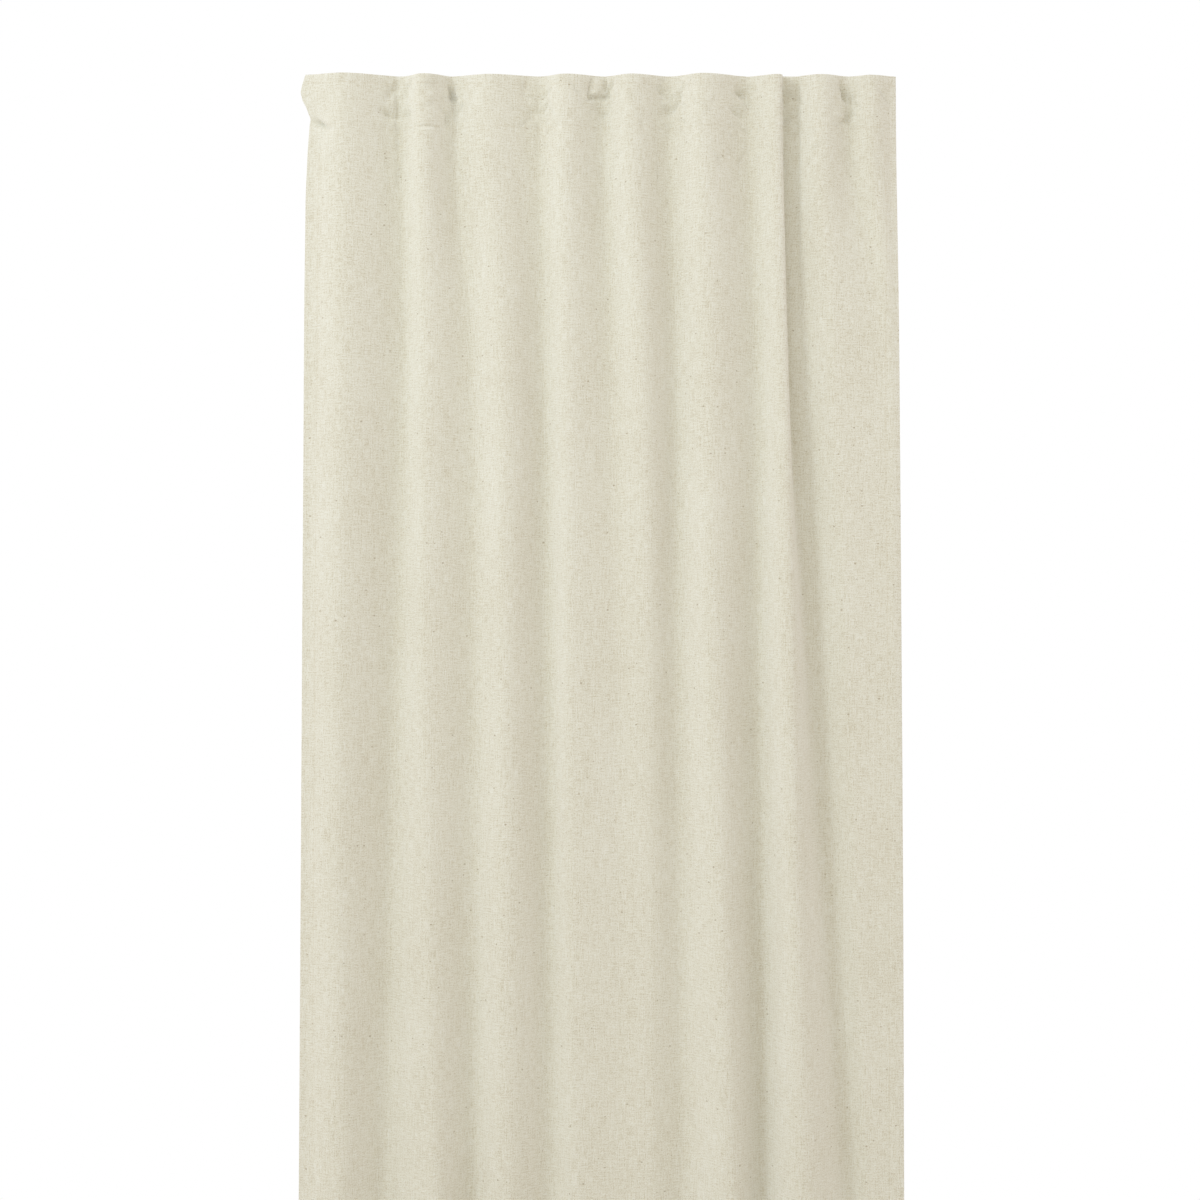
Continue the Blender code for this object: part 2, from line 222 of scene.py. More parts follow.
def rounded(rows, reach):
    # Each row averaged along the cloth under a bell
    count = int(3 * reach / fineStep)
    weights = np.exp(-((np.arange(-count, count + 1) * fineStep / reach) ** 2) / 2)
    padded = np.pad(rows, ((0, 0), (count, count)), mode="edge")
    return np.apply_along_axis(np.convolve, 1, padded, weights / weights.sum(), "valid")


def hungTable():
    # Each row is a curve of the cloth's own width. Its turn at a place is the fold's steepest angle
    # times foldShape, and x and y are the running sums of the turn's cosine and sine, shifted
    # smoothly so that each valley comes to its place.
    depth = np.linspace(0, cloth["length"], int(cloth["length"] / rowStep) + 1)
    ends = np.zeros((len(depth), 1))
    along = np.array([atDepth(v[0], depth) for v in valleys]).T
    along = np.hstack([ends, along, ends + 1]) * cloth["flatWidth"]
    width = cloth["hungWidth"] + cloth["hemSpread"] * depth[:, None] / cloth["length"]
    across = np.array([atDepth(v[1], depth) for v in valleys]).T
    across = (np.hstack([ends, across, ends + 1]) - 0.5) * width
    s = np.linspace(0, cloth["flatWidth"], int(round(cloth["flatWidth"] / fineStep)) + 1)
    fold = (s[None, :, None] >= along[:, None, 1:-1]).sum(axis=2)

    def pick(values):
        return np.take_along_axis(values, fold, axis=1)

    u = np.clip((s - pick(along)) / pick(np.diff(along)), 0, 1)
    # half of each valley's flat floor belongs to the fold on either side of it
    floor = np.hstack([ends, np.array([atDepth(f, depth) for f in floors]).T, ends])
    lead, tail = floor[:, :-1] / 2 / np.diff(along), floor[:, 1:] / 2 / np.diff(along)
    bent = 1 - lead - tail
    crisp = np.hstack([ends, np.array([atDepth(c, depth) for c in crisps]).T, ends])
    rise = cloth["rise"] + cloth["crispRise"] * crisp[:, 1:]
    early = cloth["early"] * (1 - cloth["crispEarly"] * crisp[:, :-1])
    late = cloth["late"] - cloth["crispLate"] * crisp[:, 1:]
    turn = turnFor((np.diff(across) / np.diff(along) - lead - tail) / bent, rise, early, late)
    inFold = np.clip((u - pick(lead)) / pick(bent), 0, 1)
    fade = np.hstack([ends, np.array([atDepth(f, depth) for f in fades]).T, ends])
    flat = np.where(inFold < pick(rise), pick(fade[:, :-1]), pick(fade[:, 1:]))
    angle = pick(turn) * foldShape(inFold, pick(rise), pick(early), pick(late)) * (1 - flat)
    angle = rounded(angle, cloth["bend"])
    middle = (angle[:, 1:] + angle[:, :-1]) / 2
    x = np.hstack([ends, np.cumsum(np.cos(middle), axis=1)]) * fineStep
    y = np.hstack([ends, -np.cumsum(np.sin(middle), axis=1)]) * fineStep

    def atValleys(rows):
        place = along / fineStep
        low = np.clip(place.astype(int), 0, len(s) - 2)
        share = place - low
        before, after = np.take_along_axis(rows, low, 1), np.take_along_axis(rows, low + 1, 1)
        return before * (1 - share) + after * share

    xShift = across - atValleys(x)
    yShift = cloth["valleyY"] - atValleys(y)
    yShift[:, 0] -= atDepth(edgesForward[0], depth)
    yShift[:, -1] -= atDepth(edgesForward[1], depth)
    around = (yShift[:, :-2] + yShift[:, 2:]) / 2
    yShift[:, 1:-1] += fade[:, 1:-1] * (around - yShift[:, 1:-1])
    for rows, shift in ((x, xShift), (y, yShift)):
        rows += rounded(pick(shift) + u * pick(np.diff(shift)), cloth["ease"])
    angle = np.arctan2(-np.gradient(y, fineStep, axis=1), np.gradient(x, fineStep, axis=1))
    return np.stack([x, y, angle])


hung = hungTable()
print("hung rows worked out", hung.shape)


def readTable(s, d):
    # The table read between its places, for any arrays of place along the cloth and depth
    s, d = np.broadcast_arrays(s / fineStep, d / rowStep)
    column = np.clip(s.astype(int), 0, hung.shape[2] - 2)
    row = np.clip(d.astype(int), 0, hung.shape[1] - 2)
    across, down = s - column, d - row
    upper = hung[:, row, column] * (1 - across) + hung[:, row, column + 1] * across
    lower = hung[:, row + 1, column] * (1 - across) + hung[:, row + 1, column + 1] * across
    return upper * (1 - down) + lower * down


loops = {
    "places": valleys[:, 0, 0] * cloth["flatWidth"],
    "aside": np.array([-0.005, -0.003, -0.009, -0.012, 0.003, -0.002, -0.007, -0.004]),
    "strength": np.array([0.25, 0.30, 0.40, 1.10, 0.35, 0.20, 0.15, 0.30]),
    "pillow": 0.0048,           # how far the cloth stands out above the sewn end of a loop
    "pillowFoot": 0.033,
    "topHalf": 0.010,
    "footHalf": 0.018,
    "softest": 2.2,             # less its strength, how many times wider a weak loop's edges are
    "sideEdge": 0.007,          # the stretches over which the pillow rises at its sides, top and foot
    "topEdge": 0.014,
    "footEdge": 0.0045,
    "footLift": 0.003,
    "sideGroove": 0.0045,
    "grooveOut": 0.0035,        # how far outside the pillow the groove lies, and its half width
    "grooveHalf": 0.0034,
    "grooveTop": 0.012,
    "grooveFoot": 0.010,
    "crease": 0.0042,
    "creaseAbove": 0.0028,      # how far it spreads above and below its deepest line
    "creaseBelow": 0.007,
    "creaseHalf": 0.021,
    "creaseEdge": 0.010,
    # dimples by each loop: how far beside it, depth, half width, half height, slant, how far back
    "dimples": (
        ((-0.016, 0.026, 0.008, 0.013, -0.6, 0.0085), (-0.022, 0.068, 0.013, 0.009, 0.9, 0.0090)),
        ((-0.002, 0.030, 0.006, 0.018, 0.5, 0.0085), (-0.010, 0.074, 0.007, 0.014, -0.4, 0.0070)),
        ((-0.016, 0.024, 0.009, 0.008, 0.8, 0.0045), (-0.006, 0.064, 0.016, 0.012, -0.8, 0.0035)),
        ((0.014, 0.020, 0.005, 0.012, -0.7, 0.0055), (-0.004, 0.062, 0.012, 0.016, 0.9, 0.0050)),
        ((-0.014, 0.028, 0.011, 0.010, 0.9, 0.0070), (0.002, 0.058, 0.014, 0.010, -0.8, 0.0050)),
        ((-0.010, 0.030, 0.014, 0.009, -0.8, 0.0070), (-0.020, 0.066, 0.012, 0.012, 0.7, 0.0060)),
        ((0.000, 0.034, 0.014, 0.010, 0.3, 0.0040), (0.000, 0.070, 0.012, 0.020, 0.0, 0.0020)),
        ((-0.008, 0.032, 0.010, 0.014, 0.8, 0.0080), (-0.002, 0.070, 0.009, 0.013, -0.5, 0.0085)),
    ),
}
recesses = {
    "half": (0.0, 0.0, 0.0, 0.0, 0.0, 0.0, 0.014, 0.0),
    "depth": (0.0015, 0.003, 0.0015, 0.0015, 0.0015, 0.0015, 0.006, 0.0015),
    "edge": 0.010,
    "reach": 0.024,
    "least": 0.15,              # what is left of it low down
    "fadeFrom": 0.10,
    "fadeOver": 0.60,
}
seams = {
    "upper": 0.015,
    "lower": 0.091,
    "bottom": cloth["length"] - 0.077,
    "side": 0.027,
    "pucker": 0.00040,
    "puckerLength": 0.011,
    "reach": 0.006,
    "shares": (0.8, 1.2, 0.8),  # of the pucker at the upper, lower and bottom seam
    "drawIn": 0.6,
    "wander": 4,                # how far the ripples run out of step, in radians
    "wanderCells": (0.05, 0.5),
    "wanderSeed": 11,
}
creases = {
    "seed": 7,
    "count": 240,
    "depths": (0.004, 0.19),
    "length": (0.010, 0.028),
    "width": (0.0022, 0.0045),
    "height": (-0.0014, 0.0026),
    "lean": (25, 75),
    "fan": 9,                   # creases in a fan beside each loop, and the ranges they are drawn from
    "fanAway": (0.012, 0.034),
    "fanLean": (-50, 50),
    "fanEnds": (0.036, 0.072),
    "fanFlat": 0.8,
    "fanLength": (0.008, 0.018),
    "fanWidth": (0.0022, 0.0042),
    "fanHeight": (-0.0028, 0.0040),
    # place along the cloth, depth, lean in degrees, half length, half width, how far back
    "chosen": (
        (1.372, 0.034, 40, 0.022, 0.0040, 0.0040),
        (0.024, 0.088, 22, 0.030, 0.0055, 0.0120),
        (1.215, 0.128, -40, 0.016, 0.0026, 0.0030),
        (1.118, 0.112, -32, 0.018, 0.0026, 0.0028),
        (0.275, 0.093, 2, 0.022, 0.0024, 0.0034),
        (0.190, 0.056, 88, 0.055, 0.0048, 0.0062),
        (0.345, 0.046, 82, 0.042, 0.0042, 0.0055),
        (1.020, 0.036, 62, 0.022, 0.0045, 0.0050),
        (1.286, 0.034, 70, 0.024, 0.0052, 0.0062),
        (0.852, 0.050, -48, 0.030, 0.0045, 0.0040),
    ),
}
# The cloth's own unevenness: each cell's width and depth and how far it stands out
hand = {
    "seed": 3,
    "cells": ((0.11, 0.55, 0.0016), (0.05, 0.30, 0.0007), (0.022, 0.10, 0.00022)),
    "calm": 0.25,               # the share of it that the stiff heading lets show
    "calmFrom": 0.05,
    "calmOver": 0.20,
}
# The left edge moves out at the rod and in at the tape's lower edge: depth, then metres inwards
leftEdge = np.array([
    (0.000, 0.0), (0.015, -0.005), (0.030, -0.008), (0.045, -0.0045), (0.057, 0.002), (0.074, 0.008),
    (0.090, 0.0078), (0.110, 0.0065), (0.140, 0.0045), (0.215, 0.0015), (0.400, 0.0),
])
leftEdgeReach = 0.075           # metres of cloth that move with it


def loopRelief(s, d):
    # At each loop: a pillow under the top edge, wider at its foot, a groove down each of its sides, a
    # crisp crease at the sewn end of the loop, and slanted dimples, each a bell both ways
    total = 0
    foot = loops["pillowFoot"]
    keys = ("places", "aside", "strength", "dimples")
    for place, aside, strength, dimples in zip(*(loops[key] for key in keys)):
        u = np.abs(s - place - aside)
        half = loops["topHalf"] + (loops["footHalf"] - loops["topHalf"]) * np.clip(d / foot, 0, 1)
        soft, lift = loops["softest"] - strength, loops["footLift"]
        within = smooth((half - u) / loops["sideEdge"] / soft + 0.5)
        upright = smooth(d / loops["topEdge"])
        upright = upright * (1 - smooth((d - foot + lift) / loops["footEdge"] / soft))
        side = smooth(d / loops["grooveTop"]) * (1 - smooth((d - foot) / loops["grooveFoot"]))
        spread = np.where(d < foot + lift, loops["creaseAbove"], loops["creaseBelow"])
        low = bell(d - foot - lift, spread)
        groove = bell(u - half - loops["grooveOut"], loops["grooveHalf"] * soft)
        part = -loops["pillow"] * within * upright
        part = part + loops["sideGroove"] * groove * side
        part = part + loops["crease"] * low * smooth((loops["creaseHalf"] - u) / loops["creaseEdge"] + 0.5)
        total = total + strength * part
        for beside, depth, wide, tall, slant, size in dimples:
            across = s - place - beside - slant * (d - depth)
            total = total + size * bell(across, wide) * bell(d - depth, tall)
    return total


def recessRelief(s, d):
    # Beside each valley the cloth stands forward, steeply from the valley and dying away from it,
    # most under the heading
    total = 0
    for places, half, depth in zip(valleys[:, 0], recesses["half"], recesses["depth"]):
        u = np.abs(s - atDepth(places, d) * cloth["flatWidth"]) - half
        dying = np.exp(-np.maximum(u, 0) / recesses["reach"])
        total = total - depth * smooth(u / recesses["edge"]) * dying
    fade = 1 - smooth((d - recesses["fadeFrom"]) / recesses["fadeOver"])
    return total * (recesses["least"] + (1 - recesses["least"]) * fade)


lattice = {"across": 1.8, "down": 3.0, "margin": 0.1, "spare": 4}      # metres, and cells to spare


def latticeNoise(s, d, cellS, cellD, seed):
    # Random numbers on a lattice with cells this wide and deep, blended smoothly between
    rng = np.random.default_rng(seed)
    down = int(lattice["down"] / cellD) + lattice["spare"]
    across = int(lattice["across"] / cellS) + lattice["spare"]
    grid = rng.uniform(-1, 1, (down, across))
    a, b = np.broadcast_arrays((s + lattice["margin"]) / cellS, (d + lattice["margin"]) / cellD)
    i, j = a.astype(int), b.astype(int)
    fa, fb = smooth(a - i), smooth(b - j)
    upper = grid[j, i] * (1 - fa) + grid[j, i + 1] * fa
    lower = grid[j + 1, i] * (1 - fa) + grid[j + 1, i + 1] * fa
    return upper * (1 - fb) + lower * fb


def seamRelief(s, d):
    # Along each seam, ripples across it that die away to both sides, and a slight draw-in
    wander = seams["wander"] * latticeNoise(s, d, *seams["wanderCells"], seams["wanderSeed"])
    wave = np.sin(2 * np.pi * s / seams["puckerLength"] + wander)
    total = 0
    for key, share in zip(("upper", "lower", "bottom"), seams["shares"]):
        near = np.exp(-np.abs(d - seams[key]) / seams["reach"])
        total = total + share * seams["pucker"] * near * (seams["drawIn"] + wave)
    return total


def creaseList():
    # Every crease's place, depth, lean, half length, half width and how far back, one to a row
    rng = np.random.default_rng(creases["seed"])
    n = creases["count"]
    lean = rng.choice([-1, 1], n) * rng.uniform(*creases["lean"], n)
    made = [rng.uniform(0, cloth["flatWidth"], n), rng.uniform(*creases["depths"], n), lean]
    made += [rng.uniform(*creases[key], n) for key in ("length", "width", "height")]
    # fans of creases that spread from the two sewn ends of each loop
    n = creases["fan"] * len(loops["places"])
    side = rng.choice([-1, 1], n)
    away = rng.uniform(*creases["fanAway"], n)
    lean = rng.uniform(*creases["fanLean"], n)
    end = rng.choice(creases["fanEnds"], n)
    start = np.repeat(loops["places"] + loops["aside"], creases["fan"])
    fan = [start + side * away, end + away * np.tan(np.radians(lean)) * creases["fanFlat"], side * lean]
    fan += [rng.uniform(*creases[key], n) for key in ("fanLength", "fanWidth", "fanHeight")]
    return np.vstack([np.array(made).T, np.array(fan).T, creases["chosen"]])


def creaseRelief(s, d):
    # Each crease is a straight groove: a bell across it and a wider bell along it
    total = 0
    for place, depth, lean, length, width, height in creaseList():
        turn = np.radians(lean)
        du, dv = s - place, d - depth
        along = du * np.cos(turn) + dv * np.sin(turn)
        across = dv * np.cos(turn) - du * np.sin(turn)
        total = total + height * bell(along, length) * bell(across, width)
    return total


def relief(s, d):
    # How far the cloth lies behind its plain folds
    soft = sum(size * latticeNoise(s, d, cellS, cellD, hand["seed"] + i)
               for i, (cellS, cellD, size) in enumerate(hand["cells"]))
    calm = hand["calm"] + (1 - hand["calm"]) * smooth((d - hand["calmFrom"]) / hand["calmOver"])
    return recessRelief(s, d) + loopRelief(s, d) + seamRelief(s, d) + creaseRelief(s, d) + soft * calm


def clothPoint(s, d, back=0.0):
    # The hung row at this place and depth, moved back along the row's own normal by the relief and
    # the given distance; past an edge it runs on straight
    s, d, back = np.broadcast_arrays(*(np.asarray(values, float) for values in (s, d, back)))
    sIn, dIn = np.clip(s, 0, cloth["flatWidth"]), np.clip(d, 0, cloth["length"])
    x, y, angle = readTable(sIn, dIn)
    over, away = s - sIn, back + relief(sIn, dIn)
    edge = np.interp(dIn, leftEdge[:, 0], leftEdge[:, 1]) * (1 - smooth(sIn / leftEdgeReach))
    sag = cloth["headingSag"] * np.maximum(cloth["valleyY"] - y, 0) * (1 - smooth(dIn / cloth["sagReach"]))
    return np.stack([
        x + edge + over * np.cos(angle) + away * np.sin(angle),
        y - over * np.sin(angle) + away * np.cos(angle),
        top - d - sag,
    ], axis=-1)


linen = {
    "light": "#EDEDE5",
    "body": "#E3E1D3",
    "dark": "#CFC8B2",
    "fleck": "#A08E6B",
    # Threads, each as its length across and down the cloth in millimetres, detail and share. Real
    # threads lie 0.7 mm apart; they are drawn three times as coarse so that they show.
    "threads": (
        (18, 2.2, 1, 0.18), (2.2, 26, 1, 0.17), (6.7, 450, 3, 0.04), (2.2, 2.4, 2, 0.40),
        (110, 200, 2, 0.06),
    ),
    "threadRoughness": 0.6,
    "rampHalf": 0.11,           # how far from the middle the dark and light shades lie
    "fleckSpacing": (14, 9),    # millimetres
    "fleckSize": 0.16,          # share of the spacing
    "fleckSeldom": 0.72,        # share of the places left without one
    "fleckStrength": 0.55,
    "roughness": 0.92,
    "sheen": 0.25,
    "bump": 0.25,
    "bumpDepth": 0.0012,
}


def newFinish(name, roughness, sheen):
    # A dull finish for cloth: rough in diffuse light, which keeps lit and shaded flanks even in tone
    made = bpy.data.materials.new(name)
    made.use_nodes = True
    tree = made.node_tree
    shader = tree.nodes["Principled BSDF"]
    shader.inputs["Roughness"].default_value = roughness
    shader.inputs["Sheen Weight"].default_value = sheen
    shader.inputs["Sheen Roughness"].default_value = 0.5
    shader.inputs["Diffuse Roughness"].default_value = 1.0
    shader.inputs["IOR"].default_value = 1.5
    shader.inputs["Specular IOR Level"].default_value = 0.3
    return made, tree, shader


def linenFinish():
    # Plain-woven linen-look cloth, unbleached: slubby threads both ways give it a fine uneven grain, with
    # a few brown flecks of straw, and a dull face with a little bloom
    made, tree, shader = newFinish("plainWovenLinen", linen["roughness"], linen["sheen"])
    flat = addNode(tree, "ShaderNodeUVMap", {"uv_map": "flatCloth"})
    mixed = addNode(tree, "ShaderNodeMath", {"operation": "ADD", 0: 0.0, 1: 0.0})
    for wide, tall, detail, share in linen["threads"]:
        scale = (1000 / wide, 1000 / tall, 1.0)
        spread = addNode(tree, "ShaderNodeMapping", {"Scale": scale}, {"Vector": flat})
        grain = {"Scale": 1.0, "Detail": detail, "Roughness": linen["threadRoughness"]}
        noise = addNode(tree, "ShaderNodeTexNoise", grain, {"Vector": spread})
        mixed = addNode(tree, "ShaderNodeMath", {"operation": "MULTIPLY_ADD", 1: share}, {0: noise, 2: mixed})
    ramp = addNode(tree, "ShaderNodeValToRGB", {}, {"Fac": mixed})
    middle = sum(share for *_, share in linen["threads"]) / 2
    ramp.color_ramp.elements[0].position = middle - linen["rampHalf"]
    ramp.color_ramp.elements[0].color = linear(linen["dark"])
    ramp.color_ramp.elements[1].position = middle + linen["rampHalf"]
    ramp.color_ramp.elements[1].color = linear(linen["light"])
    ramp.color_ramp.elements.new(middle).color = linear(linen["body"])
    wide, tall = linen["fleckSpacing"]
    scale = (1000 / wide, 1000 / tall, 1.0)
    spread = addNode(tree, "ShaderNodeMapping", {"Scale": scale}, {"Vector": flat})
    spots = addNode(tree, "ShaderNodeTexVoronoi", {"Scale": 1.0, "Randomness": 1.0}, {"Vector": spread})
    chance = addNode(tree, "ShaderNodeSeparateColor", {}, {"Color": spots.outputs["Color"]})
    size = addNode(tree, "ShaderNodeMath", {"operation": "MULTIPLY", 1: linen["fleckSize"]},
                   {0: chance.outputs["Green"]})
    small = addNode(tree, "ShaderNodeMath", {"operation": "LESS_THAN"},
                    {0: spots.outputs["Distance"], 1: size})
    seldom = addNode(tree, "ShaderNodeMath", {"operation": "GREATER_THAN", 1: linen["fleckSeldom"]},
                     {0: chance.outputs["Red"]})
    both = addNode(tree, "ShaderNodeMath", {"operation": "MULTIPLY"}, {0: small, 1: seldom})
    fleck = addNode(tree, "ShaderNodeMath", {"operation": "MULTIPLY", 1: linen["fleckStrength"]}, {0: both})
    colour = addNode(tree, "ShaderNodeMix", {"data_type": "RGBA", 7: linear(linen["fleck"])},
                     {"Factor": fleck, 6: ramp})
    bump = addNode(tree, "ShaderNodeBump", {"Strength": linen["bump"], "Distance": linen["bumpDepth"]},
                   {"Height": mixed})
    tree.links.new(colour.outputs[2], shader.inputs["Base Color"])
    tree.links.new(bump.outputs["Normal"], shader.inputs["Normal"])
    return made


def wovenFinish(name, light, dark, pitch, roughness, sheen, turn=0.0):
    # Narrow woven goods: the product of a sine across and a sine down, each of the thread spacing,
    # with a fine unevenness added; turned, the ribs run aslant. The spacing is in millimetres, and
    # 6283 is a full turn of the sine for each of them in a metre.
    made, tree, shader = newFinish(name, roughness, sheen)
    flat = addNode(tree, "ShaderNodeUVMap", {"uv_map": "flatCloth"})
    ribs = addNode(tree, "ShaderNodeMapping", {"Scale": (6283 / pitch[0], 6283 / pitch[1], 1.0),
                                               "Rotation": (0, 0, turn)}, {"Vector": flat})
    split = addNode(tree, "ShaderNodeSeparateXYZ", {}, {"Vector": ribs})
    across = addNode(tree, "ShaderNodeMath", {"operation": "SINE"}, {0: split.outputs["X"]})
    down = addNode(tree, "ShaderNodeMath", {"operation": "SINE"}, {0: split.outputs["Y"]})
    weave = addNode(tree, "ShaderNodeMath", {"operation": "MULTIPLY"}, {0: across, 1: down})
    spread = addNode(tree, "ShaderNodeMapping", {"Scale": (300, 300, 1.0)}, {"Vector": flat})
    uneven = addNode(tree, "ShaderNodeTexNoise", {"Scale": 1.0, "Detail": 2.0}, {"Vector": spread})
    base = addNode(tree, "ShaderNodeMath", {"operation": "MULTIPLY_ADD", 1: 0.5, 2: 0.3}, {0: uneven})
    mixed = addNode(tree, "ShaderNodeMath", {"operation": "MULTIPLY_ADD", 1: 0.15}, {0: weave, 2: base})
    ramp = addNode(tree, "ShaderNodeValToRGB", {}, {"Fac": mixed})
    ramp.color_ramp.elements[0].position = 0.3
    ramp.color_ramp.elements[0].color = linear(dark)
    ramp.color_ramp.elements[1].position = 0.75
    ramp.color_ramp.elements[1].color = linear(light)
    bump = addNode(tree, "ShaderNodeBump", {"Strength": 0.5, "Distance": 0.0006}, {"Height": mixed})
    tree.links.new(ramp.outputs["Color"], shader.inputs["Base Color"])
    tree.links.new(bump.outputs["Normal"], shader.inputs["Normal"])
    return made


linenCloth = linenFinish()
# Polyester heading tape, plain-woven: a crisp square grid, paler and a little smoother than the cloth
tapeWeave = wovenFinish("wovenHeadingTape", "#F2EFE6", "#DAD3C2", (2.2, 1.8), 0.85, 0.15)
# Cotton twill webbing for the loops: fine ribs that run aslant, matt, in the cloth's own shade
webbing = wovenFinish("twillWebbing", "#EEE8DA", "#CFC6B0", (1.6, 1.6), 0.8, 0.2, 0.8)
# Spun polyester sewing thread: two plies twisted round each other, with a dull sheen
thread = wovenFinish("spunThread", "#EDE6D3", "#D2C7AC", (0.8, 0.8), 0.6, 0.2, 0.6)
# Satin-woven label ribbon: long floats down the ribbon give it a soft gloss
satin = wovenFinish("satinRibbon", "#F6F4EF", "#E8E4DB", (0.9, 4.0), 0.38, 0.1)
print("finishes made")


grid = {
    "fineNearLoop": 0.0030,
    "nearLoop": 0.034,
    "coarse": 0.0066,
    "fineRow": 0.0026,
    "fineDepth": 0.150,
    "coarseRow": 0.0235,
    "footDepth": 0.10,          # the finer rows at the foot, and their step
    "footRow": 0.008,
    "shortest": 0.004,          # stretches of columns shorter than this are left out
    "edgeTurns": 5,
}


def spaced(low, high, step):
    # Even places from low to high, about a step apart
    return np.linspace(low, high, max(int(round((high - low) / step)), 1) + 1)


def clothColumns():
    # Fine columns around each loop and coarser ones between
    near = np.array([(p - grid["nearLoop"], p + grid["nearLoop"]) for p in loops["places"]]).ravel()
    marks = np.concatenate([[0], near, [cloth["flatWidth"]]])
    parts = []
    for i, (low, high) in enumerate(zip(marks, marks[1:])):
        if high - low < grid["shortest"]:
            continue
        step = grid["fineNearLoop"] if i % 2 else grid["coarse"]
        parts.append(spaced(low, high, step)[:-1])
    return np.concatenate([*parts, [cloth["flatWidth"]]])


def clothRows():
    # Fine rows down the heading, coarse ones below it and finer ones again at the foot
    footStart = cloth["length"] - grid["footDepth"]
    fine = spaced(0, grid["fineDepth"], grid["fineRow"])
    rest = spaced(grid["fineDepth"], footStart, grid["coarseRow"])
    foot = spaced(footStart, cloth["length"], grid["footRow"])
    return np.concatenate([fine[:-1], rest[:-1], foot])


def turnedEdge(places, radius, half):
    # The cloth carried round each end through half a circle: place and distance back of a face that
    # lies a half thickness outside or inside the turn
    turn = np.linspace(0, np.pi, grid["edgeTurns"] + 1)[1:]
    out, behind = (radius + half) * np.sin(turn), radius - (radius + half) * np.cos(turn)
    sequence = [(places[0] - out)[::-1], places, places[-1] + out]
    back = [behind[::-1], np.full(len(places), -half), behind]
    return np.concatenate(sequence), np.concatenate(back)


def closedShell(name, near, far, flat, material):
    # Two faces of a layer as grids of points, joined round their edge
    first = np.arange(near.shape[0] * near.shape[1]).reshape(near.shape[:2])
    second = first + first.size
    loop = np.concatenate([first[0, :-1], first[:-1, -1], first[-1, :0:-1], first[:0:-1, 0]])
    around = np.stack([np.append(loop, loop[0]) + first.size, np.append(loop, loop[0])])
    quads = np.concatenate([gridQuads(first), gridQuads(second)[:, ::-1], gridQuads(around)])
    points = np.concatenate([near.reshape(-1, 3), far.reshape(-1, 3)])
    return quadMesh(name, points, quads, np.tile(flat.reshape(-1, 2), (2, 1)), material)


def flatMap(s, d):
    # The flat cloth's own places, for the patterns: across it and down it in metres
    s, d = np.broadcast_arrays(s[None, :], d[:, None])
    return np.stack([s, -d], axis=-1)


def panelCloth():
    # The cloth as two faces a thickness apart, turned over at all four edges
    columns, rows = clothColumns(), clothRows()
    half = cloth["thickness"] / 2
    faces = []
    for side in (half, -half):
        s, sBack = turnedEdge(columns, cloth["sideTurn"], side)
        d, dBack = turnedEdge(rows, cloth["endTurn"], side)
        faces.append(clothPoint(s[None, :], d[:, None], sBack[None, :] + dBack[:, None] + side))
    s, _ = turnedEdge(columns, cloth["sideTurn"], 0)
    d, _ = turnedEdge(rows, cloth["endTurn"], 0)
    return closedShell("panelCloth", faces[0], faces[1], flatMap(s, d), linenCloth)


def pillEdge(low, high, inner, radius):
    # Places across a layer with round edges, and the share of its thickness at each
    turn = np.radians([18, 42, 66, 90])
    near = radius * (1 - np.cos(turn))
    inside = inner[(inner > low + 1.5 * radius) & (inner < high - 1.5 * radius)]
    places = np.concatenate([low + near, inside, (high - near)[::-1]])
    swell = np.concatenate([np.sin(turn), np.ones(len(inside)), np.sin(turn)[::-1]])
    return places, swell


def layer(name, sides, ends, columns, rows, front, thickness, material):
    # A closed layer behind the cloth with round edges: its faces lie half its thickness, times the
    # swell across and down, to each side of its middle
    half = thickness / 2
    s, across = pillEdge(*sides, columns, half)
    d, down = pillEdge(*ends, rows, half)
    swell = half * across[None, :] * down[:, None]
    near = clothPoint(s[None, :], d[:, None], front + half - swell)
    far = clothPoint(s[None, :], d[:, None], front + half + swell)
    return closedShell(name, near, far, flatMap(s, d), material)


width, length = cloth["flatWidth"], cloth["length"]
columns, rows = clothColumns(), clothRows()
gap = 0.0003                    # metres of air between layers
inset = 0.0006                  # how far the layers stay inside the cloth's edges
facingAt = cloth["thickness"] / 2 + gap
tapeAt = facingAt + cloth["thickness"] + gap
hem = {"side": 0.030, "bottom": 0.080, "thickness": 0.0012, "column": 0.004}
tape = {"top": 0.012, "height": 0.082, "thickness": 0.0008, "inset": 0.0004}
heading = cloth["headingDepth"]

panelPiece = panelCloth()
print("panel cloth", len(panelPiece.data.polygons) * 2, "triangles")
facing = layer("headingFacing", (inset, width - inset), (tape["inset"], heading), columns, rows,
               facingAt, cloth["thickness"], linenCloth)
tapeEnds = (tape["top"], tape["top"] + tape["height"])
tapePiece = layer("headingTape", (tape["inset"], width - tape["inset"]), tapeEnds, columns, rows,
                  tapeAt, tape["thickness"], tapeWeave)
hemRows = (heading + gap, length - hem["bottom"] - gap)
leftColumns = spaced(0, hem["side"], hem["column"])
leftHem = layer("leftSideHem", (inset, hem["side"]), hemRows, leftColumns, rows,
                facingAt, hem["thickness"], linenCloth)
rightColumns = spaced(width - hem["side"], width, hem["column"])
rightHem = layer("rightSideHem", (width - hem["side"], width - inset), hemRows, rightColumns, rows,
                 facingAt, hem["thickness"], linenCloth)
bottomEnds = (length - hem["bottom"], length - inset)
bottomHem = layer("bottomHem", (inset, width - inset), bottomEnds, columns, rows,
                  facingAt, hem["thickness"], linenCloth)
print("layers made")


